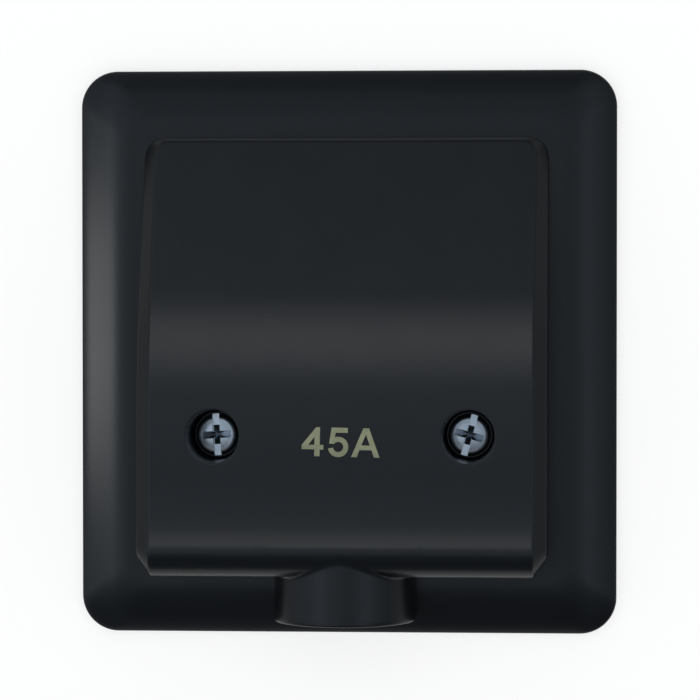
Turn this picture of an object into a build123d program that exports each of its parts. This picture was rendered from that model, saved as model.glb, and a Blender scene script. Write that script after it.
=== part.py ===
"""Flex outlet plate: a hooded cooker outlet on a domed front plate, with its terminals and cord clamp.

The pieces are drawn as the plate is seen on the wall: x to the right, y up, z out of the wall, with
z = 0 on the wall and x = y = 0 midway between the two box screws. They are stood up on export, so
that the wall's outward direction becomes -Y and up becomes +Z. Millimetres throughout.
"""
from build123d import *
from math import atan2, cos, radians, sin, sqrt, tan
import os

# Clearances
slip = 0.1  # round a piece that drops into its pocket
press_gap = 0.02  # radial, round an insert pressed into its pillar
thread_clearance = 0.05  # radial, between a screw's shank and its tapped hole
loose_hole = 0.2  # radial, where a screw passes through freely

# Front plate: a thin domed frame that clips over the base
plate_width = 91.0
plate_height = 95.4
plate_corner_r = 6.2
plate_rim = 2.0  # upright edge at the wall
plate_border = 9.0  # width of the domed border
plate_face = 5.6  # height of the flat land that the hood stands on
plate_wall = 2.0
land_corner_r = 3.2
dome_sections = 5
barb_width = 8.0
barb_reach = 0.7
barb_height = 0.5
barb_lift = 0.1

# Hood: side profile, from its top edge down to the roll above the spout
hood_width = 68.3
hood_top = 36.1
hood_bottom = -37.4
hood_shoulder = 8.0  # height of the front face at the hood's top edge
hood_slope = 20.0  # degrees from the wall, upper face
hood_front = 21.7  # height of the front face where the bottom roll starts
hood_lean = 2.5  # degrees from the wall, lower face
hood_bend_r = 58.0
hood_roll_r = 6.0
hood_wall = 2.2
hood_draft = 1.2  # degrees, side and end walls
hood_corner_r = 2.7
hollow_corner_extra = 1.5
face_draft = 2.3  # degrees, the bevel's inner edge
side_bevel_width = 1.8
side_bevel_height = 2.4
corner_bevel = 4.2  # height of the side bevel at the hood's bottom
top_bevel = 0.7
seat_width = 0.5  # how far the plate's land reaches in past the hood's wall
tab_width = 10.0
tab_thickness = 1.0
tab_drop = 1.4
tab_root = 3.5

# Spout: the arched cable outlet below the hood
spout_r = 11.8
spout_axis = 8.8  # height of the arch's centre
spout_wall = 2.0
spout_end = -45.2
spout_plate_gap = 0.15

# Hood screws and their wells
hood_screw_x = 21.0
hood_screw_y = -13.5
well_mouth_r = 4.45
well_floor_r = 4.0
well_wall = 1.6
well_floor = 12.0  # height of the face under the screw head
well_floor_t = 1.8
hood_screw_r = 1.75
hood_screw_head_r = 3.5
hood_screw_head_h = 2.3
hood_screw_length = 10.0
insert_wall = 0.75
insert_length = 6.0
insert_groove = 0.3
pillar_wall = 1.8
pillar_web_t = 1.2
pillar_web_reach = 3.0
pillar_web_h = 4.0
blind_clearance = 0.6  # below a screw's tip

# Base moulding
base_gap = 0.9  # between its edge and the plate's rim
flange_t = 1.5
deck_inset = 3.0
deck_t = 2.6
base_corner_r = 3.0
notch_height = 0.7
notch_depth = 1.1
notch_side = 0.5
seat_rib_t = 2.0
seat_rib_gap = 0.6
box_screw_pitch = 60.3
box_slot_width = 4.2
box_slot_length = 6.6
box_seat_t = 1.4
box_head_r = 3.9

# Terminal tub behind the wall plane, and the openings through it
tub_side_gap = 0.5  # between the terminal block and the tub's side
lower_core_room = 7.9  # below the terminal block, for the cord's cores
upper_core_room = 10.4  # above it, for the supply's cores
tub_depth = 9.0
tub_wall = 1.8
tub_corner_r = 2.0
entry_width = 32.0
entry_height = 7.0
entry_edge = 0.5  # wall left above it

# Terminal block and terminals
terminal_pitch = 14.4
terminal_width = 11.8
terminal_length = 17.8
terminal_height = 11.0
terminal_middle = 10.5
wire_bore_r = 3.25
wire_floor = 1.25  # brass behind the wire bore
block_wall = 2.1
block_corner_r = 1.0
terminal_chamfer = 0.5
block_front_t = 1.9
wire_mouth_r = 3.6
lug_width = 6.4
lug_reach = 5.5
lug_t = 3.5
lug_boss_r = 3.25
keeper_width = 5.2
keeper_wall = 1.2
tongue_reach = 1.2
tongue_t = 1.4
block_screw_r = 1.5
block_screw_head_r = 2.75
block_screw_head_h = 1.8
block_screw_length = 7.0
boss_floor = 1.0

# Terminal screws, backed off to clear the wire bore
clamp_screw_pitch = 9.0
terminal_screw_r = 2.45
terminal_screw_head_r = 3.3
terminal_screw_head_h = 1.7
terminal_screw_travel = 4.4
head_margin = 0.15
access_r = 3.7

# Cord clamp
cord_clamp_y = -25.0
cord_screw_x = 14.0
cord_pillar_top = 9.0
cord_bar_lift = 13.4  # underside of the open bar
cord_bar_width = 9.0
cord_bar_t = 2.4
cord_bar_travel = 4.2
cord_screw_r = 1.75
cord_screw_head_r = 3.2
cord_screw_head_h = 2.1
cord_screw_length = 9.4
cord_insert_length = 4.5
ridge_length = 17.0
ridge_width = 1.4
ridge_height = 0.8
ridge_pitch = 5.0

# Screw heads
slot_width = 1.1
slot_depth = 1.0
head_round = 0.9  # radius between a head's side and its crown
head_steps = 3
tip_chamfer = 0.4
hood_screw_turn_left = 3.3  # degrees anticlockwise from upright
hood_screw_turn_right = -15.0

# Sizes that follow
hood_inner = hood_width / 2 - hood_wall
aperture_width = 2 * (hood_inner - seat_width)
aperture_low = hood_bottom + hood_wall + seat_width
aperture_high = hood_top - hood_wall - seat_width
aperture_height = aperture_high - aperture_low
aperture_middle = (aperture_high + aperture_low) / 2
plate_underside = plate_face - plate_wall
base_width = plate_width - 2 * (plate_wall + base_gap)
base_height = plate_height - 2 * (plate_wall + base_gap)
hood_height = hood_top - hood_bottom
hood_middle = (hood_top + hood_bottom) / 2
pillar_top = well_floor - well_floor_t
hood_screw_tip = well_floor - hood_screw_length
cord_screw_low = cord_bar_lift + cord_bar_t - cord_screw_length - cord_bar_travel
terminal_top = terminal_height - tub_depth + slip
wire_axis = slip - tub_depth + wire_floor + wire_bore_r
lug_x = terminal_pitch / 2
cord_bar_length = 2 * cord_screw_x + cord_bar_width
block_width = 2 * terminal_pitch + terminal_width + 2 * slip + 2 * block_wall
block_height = terminal_length + 2 * slip + 2 * block_wall
block_low = terminal_middle - block_height / 2
block_high = terminal_middle + block_height / 2
block_top = terminal_top + slip + block_front_t
tub_width = block_width + 2 * tub_side_gap
tub_low = block_low - lower_core_room
tub_high = block_high + upper_core_room
lug_y = block_low - lug_reach / 2
lug_top = lug_t - tub_depth
block_screw_tip = lug_top - block_screw_length
terminal_screw_ys = [terminal_middle - clamp_screw_pitch / 2, terminal_middle + clamp_screw_pitch / 2]
terminal_screw_tip = wire_axis + wire_bore_r + thread_clearance
terminal_screw_head = terminal_top + terminal_screw_travel + head_margin
terminal_names = {"live": -terminal_pitch, "earth": 0.0, "neutral": terminal_pitch}
sides = {"left": -1, "right": 1}


def block(x_low, x_high, y_low, y_high, z_low, z_high):
    """Plain block between two corners."""
    size = (x_high - x_low, y_high - y_low, z_high - z_low)
    return Pos(x_low, y_low, z_low) * Box(*size, align=(Align.MIN, Align.MIN, Align.MIN))


def pad(x, y, width, height, z_low, z_high):
    """Plain block centred on a point of the plate, between two heights above the wall."""
    return block(x - width / 2, x + width / 2, y - height / 2, y + height / 2, z_low, z_high)


def round_bar(radius, z_low, z_high, x=0.0, y=0.0):
    """Cylinder square to the wall."""
    return Pos(x, y, z_low) * Cylinder(radius, z_high - z_low, align=(Align.CENTER, Align.CENTER, Align.MIN))


def slab(outline, z_low, z_high):
    """A flat outline given thickness, between two heights above the wall."""
    return extrude(Pos(0, 0, z_low) * outline, z_high - z_low)


def domed_block(width, height, corner_r, rim, top, border):
    """Rounded block whose border rises from its rim on an arc that ends level with the flat top."""
    rise = top - rim
    arc_r = (border**2 + rise**2) / (2 * rise)
    sweep_angle = atan2(border, arc_r - rise)
    sections = []
    for step in range(dome_sections + 1):
        angle = sweep_angle * (1 - step / dome_sections)
        inset = border - arc_r * sin(angle)
        lift = top - arc_r + arc_r * cos(angle)
        radius = corner_r + (land_corner_r - corner_r) * inset / border
        sections.append(Pos(0, 0, lift) * RectangleRounded(width - 2 * inset, height - 2 * inset, radius))
    foot = slab(RectangleRounded(width, height, corner_r), 0, rim)
    return foot + loft(sections)


def plate_shape(grow=0.0):
    """The front plate's outer form with its face moved out by a clearance."""
    return domed_block(
        plate_width + 2 * grow, plate_height + 2 * grow, plate_corner_r + grow, plate_rim, plate_face + grow,
        plate_border + grow,
    )


def plate_hollow():
    """The space under the front plate, one wall in from its outer form."""
    rise = plate_face - plate_rim
    arc_r = (plate_border**2 + rise**2) / (2 * rise)
    border = plate_border - plate_wall
    rim = plate_face - arc_r + sqrt((arc_r - plate_wall) ** 2 - border**2)
    return domed_block(
        plate_width - 2 * plate_wall, plate_height - 2 * plate_wall, plate_corner_r - plate_wall, rim,
        plate_underside, border,
    )


def edge_spots(width, height):
    """Middle of each side of a frame, with the turn that points +x outwards there."""
    return [Pos(width / 2, 0) * Rot(0, 0, 0), Pos(0, height / 2) * Rot(0, 0, 90),
            Pos(-width / 2, 0) * Rot(0, 0, 180), Pos(0, -height / 2) * Rot(0, 0, -90)]


def front_plate():
    """Domed frame with an opening under the hood and a snap barb inside each side."""
    opening = Pos(0, aperture_middle) * RectangleRounded(aperture_width, aperture_height, land_corner_r)
    frame = plate_shape() - plate_hollow() - slab(opening, 0, plate_face + 1)
    inner_width = plate_width - 2 * plate_wall
    inner_height = plate_height - 2 * plate_wall
    barb = block(-base_gap - barb_reach, plate_wall / 2, -barb_width / 2, barb_width / 2,
                 barb_lift, barb_lift + barb_height)
    for spot in edge_spots(inner_width, inner_height):
        frame += spot * barb
    return frame


def side_profile(front_inset=0.0, low_inset=0.0, high_inset=0.0, foot=0.0):
    """The hood seen from the side, in y and z: slope, bend, leaning front and bottom roll, less insets."""
    slope, lean = radians(hood_slope), radians(hood_lean)
    low = hood_bottom + low_inset
    high = hood_top - high_inset
    shoulder_y = hood_top - top_bevel
    roll_y = hood_bottom + hood_roll_r

    def slope_z(y):
        return hood_shoulder + tan(slope) * (shoulder_y - y) - front_inset / cos(slope)

    def lean_z(y):
        return hood_front + tan(lean) * (roll_y - y) - front_inset / cos(lean)

    bend_y = (slope_z(0) - lean_z(0)) / (tan(slope) - tan(lean))
    bevel_y = high - top_bevel
    front = FilletPolyline(
        (bevel_y, slope_z(bevel_y)), (bend_y, slope_z(bend_y)), (low, lean_z(low)), (low, foot),
        radius=[hood_bend_r - front_inset, hood_roll_r - front_inset],
    )
    back = Polyline((low, foot), (high, foot), (high, slope_z(bevel_y) - top_bevel),
                    (bevel_y, slope_z(bevel_y)))
    return make_face(front + back)


def drafted_plane(half_width, draft_angle):
    """Plane of a hood side wall: y across, its own y axis up the wall and leaning in by the draft."""
    side = 1 if half_width > 0 else -1
    lean = radians(draft_angle)
    return Plane((half_width, 0, 0), x_dir=(0, 1, 0), z_dir=(cos(lean), 0, side * sin(lean)))


def arch(radius, y_low, y_high):
    """Round-topped tunnel along y, with upright sides down to the wall plane."""
    dome = Pos(0, spout_axis) * (Circle(radius) & Pos(0, radius / 2) * Rectangle(2 * radius, radius))
    outline = dome + Pos(0, spout_axis / 2) * Rectangle(2 * radius, spout_axis)
    across = Plane((0, y_high, 0), x_dir=(1, 0, 0), z_dir=(0, -1, 0))
    return extrude(across * outline, y_high - y_low)


def hood_body():
    """Outer form: the side profile between drafted walls, bevelled along both sides."""
    edge = side_profile(side_bevel_height, corner_bevel, top_bevel)
    face = side_profile()
    half = hood_width / 2
    sections = [
        drafted_plane(-half, hood_draft) * edge,
        drafted_plane(-half + side_bevel_width, face_draft) * face,
        drafted_plane(half - side_bevel_width, face_draft) * face,
        drafted_plane(half, hood_draft) * edge,
    ]
    plan = Pos(0, hood_middle) * RectangleRounded(hood_width, hood_height, hood_corner_r)
    return loft(sections, ruled=True) & slab(plan, plate_face, hood_front + hood_wall)


def hood_hollow():
    """The space inside the hood, one wall in from its outer form, with rounded corners."""
    face = side_profile(hood_wall, hood_wall, hood_wall)
    sections = [drafted_plane(side * hood_inner, hood_draft) * face for side in (-1, 1)]
    plan = Pos(0, hood_middle) * RectangleRounded(
        2 * hood_inner, hood_height - 2 * hood_wall, hood_corner_r + hollow_corner_extra
    )
    return loft(sections, ruled=True) & slab(plan, 0, hood_front)


def hood_tabs(outside):
    """Locating tabs that drop from the hood's side and top walls into the plate's opening."""
    inner = seat_width + slip
    root = block(-inner - tab_thickness, hood_wall / 2, -tab_width / 2, tab_width / 2,
                 plate_face, plate_face + tab_root)
    foot = block(-inner - tab_thickness, -inner, -tab_width / 2, tab_width / 2,
                 plate_face - tab_drop, plate_face)
    spots = edge_spots(2 * hood_inner, hood_height - 2 * hood_wall)[:3]
    places = [Pos(0, hood_middle) * spot for spot in spots]
    return [(place * root & outside) + place * foot for place in places]


def hood():
    """Moulded cover: drafted box with bevelled sides, two screw wells, and the spout below it."""
    outside = hood_body()
    spout = arch(spout_r, spout_end, hood_bottom + hood_roll_r) - plate_shape(spout_plate_gap)
    cover = outside + spout - hood_hollow()
    cover -= arch(spout_r - spout_wall, spout_end - 1, hood_bottom + hood_roll_r)
    for tab in hood_tabs(outside):
        cover += tab
    tall = hood_front + 1
    for side in sides.values():
        x, y = side * hood_screw_x, hood_screw_y
        tube = round_bar(well_floor_r + well_wall, pillar_top, tall, x, y) & outside
        mouth = Pos(x, y, (well_floor + tall) / 2) * Cone(well_floor_r, well_mouth_r, tall - well_floor)
        cover += tube
        cover -= mouth
        cover -= round_bar(hood_screw_r + loose_hole, 0, well_floor + 1, x, y)
    return cover


def screw_pillar(x, y, screw_r, top, tip, insert_length):
    """Round pillar with a pocket for its insert and a blind hole below; returns it and what it cuts."""
    insert_r = screw_r + thread_clearance + insert_wall
    post = round_bar(insert_r + pillar_wall, 0, top, x, y)
    cut = round_bar(insert_r + press_gap, top - insert_length, top + 1, x, y)
    cut += round_bar(screw_r + loose_hole, tip - blind_clearance, top, x, y)
    return post, cut


def threaded_insert(x, y, screw_r, top, length):
    """Brass sleeve with a groove round its middle, flush with the top of its pillar."""
    bore_r = screw_r + thread_clearance
    outer = round_bar(bore_r + insert_wall, top - length, top, x, y)
    middle = top - length / 2
    band = round_bar(bore_r + insert_wall, middle - insert_groove, middle + insert_groove, x, y)
    band -= round_bar(bore_r + insert_wall - insert_groove, middle - length, top, x, y)
    return outer - band - round_bar(bore_r, top - length - 1, top + 1, x, y)


def base_plate():
    """Stepped flange under the front plate, with the rib that the plate's land sits on."""
    flange = slab(RectangleRounded(base_width, base_height, base_corner_r), 0, flange_t)
    deck_width, deck_height = base_width - 2 * deck_inset, base_height - 2 * deck_inset
    deck = slab(RectangleRounded(deck_width, deck_height, base_corner_r), 0, deck_t)
    inner, outer = 2 * seat_rib_gap, 2 * (seat_rib_gap + seat_rib_t)
    rib = Pos(0, aperture_middle) * (
        RectangleRounded(aperture_width + outer, aperture_height + outer, land_corner_r + outer / 2)
        - RectangleRounded(aperture_width + inner, aperture_height + inner, land_corner_r + inner / 2)
    )
    return flange + deck + slab(rib, 0, plate_underside)


def tub_outline(grow):
    """Outline of the terminal tub, grown by a wall."""
    middle = (tub_high + tub_low) / 2
    return Pos(0, middle) * RectangleRounded(
        tub_width + 2 * grow, tub_high - tub_low + 2 * grow, tub_corner_r + grow
    )


def keeper(x):
    """Hook on the tub's floor that holds down a tongue of the terminal block."""
    start = block_high + slip
    end = start + tongue_reach + slip
    under = tongue_t + slip - tub_depth
    left, right = x - keeper_width / 2, x + keeper_width / 2
    hook = block(left, right, start, end + keeper_wall, -tub_depth - tub_wall, under + keeper_wall)
    return hook - block(left - 1, right + 1, start - 1, end, -tub_depth, under)


def base_moulding():
    """Rear moulding: flange, terminal tub, screw pillars, cord saddle and cable entry."""
    tub = slab(tub_outline(tub_wall), -tub_depth - tub_wall, 0) + base_plate()
    tub -= slab(tub_outline(0), -tub_depth, plate_face)
    entry_y = tub_high - entry_edge - entry_height / 2
    entry = Pos(0, entry_y) * RectangleRounded(entry_width, entry_height, tub_corner_r)
    tub -= slab(entry, -tub_depth - tub_wall - 1, 0)
    cuts = []
    for side in sides.values():
        for x, y, screw_r, top, tip, length in (
            (hood_screw_x, hood_screw_y, hood_screw_r, pillar_top, hood_screw_tip, insert_length),
            (cord_screw_x, cord_clamp_y, cord_screw_r, cord_pillar_top, cord_screw_low, cord_insert_length),
        ):
            post, cut = screw_pillar(side * x, y, screw_r, top, tip, length)
            tub += post
            cuts.append(cut)
        foot = hood_screw_r + insert_wall + pillar_wall + pillar_web_reach
        tub += pad(side * hood_screw_x, hood_screw_y, 2 * foot, pillar_web_t, 0, deck_t + pillar_web_h)
        slot = Pos(side * box_screw_pitch / 2, 0) * SlotOverall(box_slot_length, box_slot_width)
        seat_length = box_slot_length - box_slot_width + 2 * box_head_r
        seat = Pos(side * box_screw_pitch / 2, 0) * SlotOverall(seat_length, 2 * box_head_r)
        cuts += [slab(slot, -1, deck_t), slab(seat, box_seat_t, plate_face)]
        boss_low = block_screw_tip - blind_clearance - boss_floor
        tub += round_bar(lug_boss_r, boss_low, -tub_depth, side * lug_x, lug_y)
        thread_r = block_screw_r + thread_clearance
        cuts.append(round_bar(thread_r, boss_low + boss_floor, 0, side * lug_x, lug_y))
        tub += keeper(side * lug_x)
        ridge_y = cord_clamp_y + side * ridge_pitch / 2
        tub += pad(0, ridge_y, ridge_length, ridge_width, 0, deck_t + ridge_height)
    notch = pad(0, 0, 2 * notch_depth, barb_width + 2 * notch_side, -1, notch_height)
    cuts += [spot * notch for spot in edge_spots(base_width, base_height)]
    for cut in cuts:
        tub -= cut
    return tub


def wire_bar(radius, x):
    """Upright cylinder on a terminal's wire axis, longer than the block."""
    return Pos(x, terminal_middle, wire_axis) * Rot(90, 0, 0) * Cylinder(radius, block_height + 2)


def terminal_block():
    """Housing with three cells open to the tub's floor, wire mouths, screw access holes, lugs and tongues."""
    outline = Pos(0, terminal_middle) * RectangleRounded(block_width, block_height, block_corner_r)
    housing = slab(outline, -tub_depth, block_top)
    for side in sides.values():
        x = side * lug_x
        housing += pad(x, lug_y + block_wall / 2, lug_width, lug_reach + block_wall, -tub_depth, lug_top)
        housing -= round_bar(block_screw_r + loose_hole, -tub_depth - 1, lug_top + 1, x, lug_y)
        tongue_y = block_high + (tongue_reach - block_wall) / 2
        housing += pad(x, tongue_y, keeper_width, tongue_reach + block_wall, -tub_depth, tongue_t - tub_depth)
    cell_width, cell_height = terminal_width + 2 * slip, terminal_length + 2 * slip
    for x in terminal_names.values():
        housing -= pad(x, terminal_middle, cell_width, cell_height, -tub_depth - 1, terminal_top + slip)
        housing -= wire_bar(wire_mouth_r, x)
        for y in terminal_screw_ys:
            housing -= round_bar(access_r, terminal_top, block_top + 1, x, y)
    return housing


def terminal(x):
    """Brass block with an upright wire bore and two tapped holes into it from the front."""
    brass = pad(x, terminal_middle, terminal_width, terminal_length, slip - tub_depth, terminal_top)
    brass = chamfer(brass.edges().filter_by(Axis.Z), terminal_chamfer) - wire_bar(wire_bore_r, x)
    for y in terminal_screw_ys:
        brass -= round_bar(terminal_screw_r + thread_clearance, wire_axis, terminal_top + 1, x, y)
    return brass


def screw(head_r, head_h, shank_r, length, turn=0.0):
    """Pan-head screw with its seat at z = 0: domed head above, shank below, one slot across."""
    outline = Polyline((0, head_h), (0, -length), (shank_r - tip_chamfer, -length),
                       (shank_r, tip_chamfer - length), (shank_r, 0), (head_r, 0), (head_r, head_h - head_round))
    facets = [radians(90 * step / head_steps) for step in range(head_steps + 1)]
    crown = Polyline([(head_r + head_round * (cos(a) - 1), head_h + head_round * (sin(a) - 1)) for a in facets])
    whole = revolve(Plane.XZ * make_face(outline + crown + Line(crown @ 1, (0, head_h))), Axis.Z)
    slot = block(-slot_width / 2, slot_width / 2, -head_r, head_r, head_h - slot_depth, head_h + 1)
    return whole - Rot(0, 0, turn) * slot


def cord_clamp_bar():
    """Flat bar with gripping ridges below, a stiffening rib above and two screw holes."""
    top = cord_bar_lift + cord_bar_t
    bar = slab(Pos(0, cord_clamp_y) * SlotOverall(cord_bar_length, cord_bar_width), cord_bar_lift, top)
    for side in sides.values():
        y = cord_clamp_y + side * ridge_pitch / 2
        bar += pad(0, y, ridge_length, ridge_width, cord_bar_lift - ridge_height, top)
        bar -= round_bar(cord_screw_r + loose_hole, 0, top + 1, side * cord_screw_x, cord_clamp_y)
    rib = Pos(0, cord_clamp_y) * SlotOverall(ridge_length, ridge_pitch)
    return bar + slab(rib, cord_bar_lift, top + ridge_height)


def stand_up(piece):
    """Turn a piece from the drawing's axes to the wall's: z becomes -Y and y becomes +Z."""
    return Plane.XZ.location * piece


def save(name, piece):
    """Write one piece to its own file."""
    export_step(stand_up(piece), f"parts/{name}.step")


def save_all():
    """Write every piece of the outlet plate."""
    os.makedirs("parts", exist_ok=True)
    save("front_plate", front_plate())
    save("base_moulding", base_moulding())
    save("hood", hood())
    save("terminal_block", terminal_block())
    save("cord_clamp_bar", cord_clamp_bar())
    hood_screw_turns = {"left": hood_screw_turn_left, "right": hood_screw_turn_right}
    for name, side in sides.items():
        x = side * hood_screw_x
        hood_screw = screw(hood_screw_head_r, hood_screw_head_h, hood_screw_r, hood_screw_length,
                           hood_screw_turns[name])
        save(f"hood_screw_{name}", Pos(x, hood_screw_y, well_floor) * hood_screw)
        save(f"hood_insert_{name}", threaded_insert(x, hood_screw_y, hood_screw_r, pillar_top, insert_length))
        block_screw = screw(block_screw_head_r, block_screw_head_h, block_screw_r, block_screw_length)
        save(f"block_screw_{name}", Pos(side * lug_x, lug_y, lug_top) * block_screw)
        x = side * cord_screw_x
        cord_screw = screw(cord_screw_head_r, cord_screw_head_h, cord_screw_r, cord_screw_length)
        save(f"cord_clamp_screw_{name}", Pos(x, cord_clamp_y, cord_bar_lift + cord_bar_t) * cord_screw)
        save(f"cord_clamp_insert_{name}",
             threaded_insert(x, cord_clamp_y, cord_screw_r, cord_pillar_top, cord_insert_length))
    shank = terminal_screw_head - terminal_screw_tip
    terminal_screw = screw(terminal_screw_head_r, terminal_screw_head_h, terminal_screw_r, shank)
    for name, x in terminal_names.items():
        save(f"{name}_terminal", terminal(x))
        for row, y in zip(("flex", "feed"), terminal_screw_ys):
            save(f"{name}_{row}_screw", Pos(x, y, terminal_screw_head) * terminal_screw)


save_all()
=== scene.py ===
from contextlib import contextmanager
from math import cos, pi, radians, sin, tan

import bmesh
import bpy
import numpy as np
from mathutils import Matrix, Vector


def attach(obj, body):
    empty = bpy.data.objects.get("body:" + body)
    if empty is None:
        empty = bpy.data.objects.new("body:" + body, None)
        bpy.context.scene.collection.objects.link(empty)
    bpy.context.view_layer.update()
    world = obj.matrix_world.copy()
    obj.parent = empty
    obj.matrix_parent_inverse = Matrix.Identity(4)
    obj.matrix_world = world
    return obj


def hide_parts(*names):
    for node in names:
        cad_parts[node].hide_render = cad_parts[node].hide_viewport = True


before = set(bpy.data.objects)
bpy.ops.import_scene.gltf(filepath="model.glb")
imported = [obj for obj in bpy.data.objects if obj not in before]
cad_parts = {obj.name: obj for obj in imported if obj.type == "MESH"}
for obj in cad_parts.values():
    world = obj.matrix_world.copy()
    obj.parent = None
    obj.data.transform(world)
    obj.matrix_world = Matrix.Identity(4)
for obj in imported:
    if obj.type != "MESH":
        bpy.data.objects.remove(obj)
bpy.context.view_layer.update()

MM = 0.001
WELD = 1e-6

# Sizes are in millimetres and drafts in degrees: x right, y up, z out of the wall.
# The front plate's border rises from its rim to the flat face round the hood.
PLATE = {"width": 91.0, "height": 95.4, "corner": 6.2, "rim": 2.0, "border": 9.0, "face": 5.6, "wall": 2.0}
BORDER_RISE = PLATE["face"] - PLATE["rim"]
BORDER_R = (PLATE["border"] ** 2 + BORDER_RISE**2) / (2 * BORDER_RISE)
LAND_CORNER = 3.2
OPENING = {"width": 62.9, "height": 68.1, "middle": -0.65}
BARB = {"width": 8.0, "reach": 0.7, "gap": 0.9, "lift": 0.1, "height": 0.5}

# The hood slopes down to a bend, leans out from there, turns up to a lip and rolls back to its foot.
FOOT = PLATE["face"]
SLOPE, LEAN, LIP = radians(20.0), radians(2.5), radians(14.0)
SHOULDER = (35.4, 8.0)
HOOD_LOW = -36.8
HOOD_FRONT = 21.68
BEND_R, ROLL_R = 58.0, 4.4
SPOUT = {"outer": 11.8, "inner": 9.8, "axis": 9.4, "end": -44.8, "gap": 0.15, "gap_run": 0.5, "lip": 0.4}
WELL = {"x": 21.0, "y": -13.5, "floor": 12.0, "low": 10.2, "hole": 1.95, "bottom": 4.0, "mouth": 4.5,
        "mouth_z": 22.7, "tube": 5.6, "rim": 0.18, "heel": 0.3, "chamfer": 0.1}

# Each skin of the hood has a bevel along it, between an edge below and the edge of its face. Each edge has
# half its width at the wall, draft, distance behind the hood's front and above its lower side, upper end,
# corner radius and softness. The rest: how far the bevel drops at the top, the spout's radius and soft
# edge, and the half widths of the squares left free for the spout and for a well.
OUTER_SKIN = {
    "edge": {"half": 34.15, "draft": 1.2, "front": 2.4, "low": 3.1, "top": 36.1, "corner": 3.4, "soft": 0.22},
    "face": {"half": 32.35, "draft": 2.3, "front": 0.0, "low": 0.0, "top": 35.4, "corner": 2.2, "soft": 0.3},
    "drop": 0.7, "arch_r": SPOUT["outer"], "arch_soft": 0.55, "arch_side": 13.2, "well_side": 5.6}
INNER_SKIN = {
    "edge": {"half": 31.95, "draft": 1.2, "front": 2.5, "low": 2.5, "top": 33.9, "corner": 4.2, "soft": 0.12},
    "face": {"half": 31.65, "draft": 1.2, "front": 2.2, "low": 2.2, "top": 33.5, "corner": 3.9, "soft": 0.12},
    "drop": 0.3, "arch_r": SPOUT["inner"], "arch_soft": 0.3, "arch_side": 11.2, "well_side": 6.1}

# Rows and columns of the hood's grids. The front's stage lies just before the bend's end, the nudge is a
# small step of stage, and the dense count is for curves that are measured along their length.
CORNER_STEPS, SLOPE_STEPS, BEND_STEPS, WELL_STEPS = 9, 9, 26, 16
SHOE_LEAD, ROLL_STEPS, WALL_STEPS, ARCH_COLS = 12, 16, 6, 26
SHOE_ROWS, SHOE_EASE, SHOE_TOP = 17, 1.2, -30.9
LAST_FIXED_X, BORDER_COLS, SPOUT_ROWS, SOFT_STEPS = 27.8, 4, 13, 4
FRONT_STAGE, NUDGE, DENSE = 2.9, 1e-4, 1500

# Screws: head radius and height, shank radius, length under the head, thread pitch.
SCREWS = {
    "hood": (3.5, 2.3, 1.75, 10.0, 0.6),
    "clamp": (3.2, 2.1, 1.75, 9.4, 0.6),
    "block": (2.75, 1.8, 1.5, 7.0, 0.5),
    "terminal": (3.3, 1.7, 2.45, 7.75, 0.7)}
HEAD = {"soft": 0.95, "squash": 0.9, "crown": 0.22, "under": 0.12}
SHANK = {"neck": 0.35, "tip": 0.5, "taper": 0.45, "rows": 9, "run_in": 12}
SLOT = {"half": 0.56, "depth": 0.95, "over": 0.5}
CROSS = {"reach": 2.4, "share": 0.7, "half": 0.6, "depth": 1.9}
INSERT = {"play": 0.05, "wall": 0.8, "knurl": 0.09, "ribs": 48, "groove": 0.3, "soft": 0.15, "pitch": 0.6}
HOOD_INSERT, CLAMP_INSERT = 6.0, 4.5
CLAMP_PLACE = {"x": 14.0, "y": -25.0, "seat": 15.8, "insert": 9.0}
BLOCK_PLACE = {"x": 7.2, "y": -3.35, "seat": -5.5}
POLE_STEP, TERMINAL_SEAT = 14.4, 6.65
POLES = (("live", -POLE_STEP), ("earth", 0.0), ("neutral", POLE_STEP))
TERMINAL_ROWS = (("flex", 6.0), ("feed", 15.0))

# The rating: size, slant, place of its middle and foot, and height of the ink over and into the hood.
INK = {"scale": 0.97, "slant": -1.2, "middle": 6.6, "x": 0.14, "y": -16.75, "over": 0.035, "into": 0.05}


def stand(points):
    """Drawing places in millimetres to metres in the part's frame: (x, y, z) becomes (x, -z, y) / 1000."""
    return np.stack([points[..., 0], -points[..., 2], points[..., 1]], axis=-1) * MM


def lerp(a, b, t):
    """Point a share t of the way from a to b."""
    return a + (b - a) * t


def unit(v):
    """Arrows of length one."""
    return v / np.linalg.norm(v, axis=-1, keepdims=True)


def smooth(t):
    """Eases from 0 to 1 with level ends: 3t^2 - 2t^3."""
    return t * t * (3 - 2 * t)


def curl(start, corner, end, steps):
    """Parabola from start to end, leaving and arriving along the lines through the corner."""
    t = np.linspace(0, 1, steps + 1).reshape(-1, *([1] * start.ndim))
    return (1 - t) ** 2 * start + 2 * t * (1 - t) * corner + t**2 * end


def grid_quads(rows, cols, start, keep=None):
    """Corners of the quads between neighbouring rows and columns of points numbered row by row."""
    index = np.arange(rows * cols).reshape(rows, cols) + start
    quads = np.stack([index[:-1, :-1], index[:-1, 1:], index[1:, 1:], index[1:, :-1]], axis=-1)
    return quads[keep] if keep is not None else quads.reshape(-1, 4)


@contextmanager
def opened(mesh):
    """The mesh opened for work on it, which is written back at the end."""
    work = bmesh.new()
    work.from_mesh(mesh)
    yield work
    work.to_mesh(mesh)
    work.free()


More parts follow.
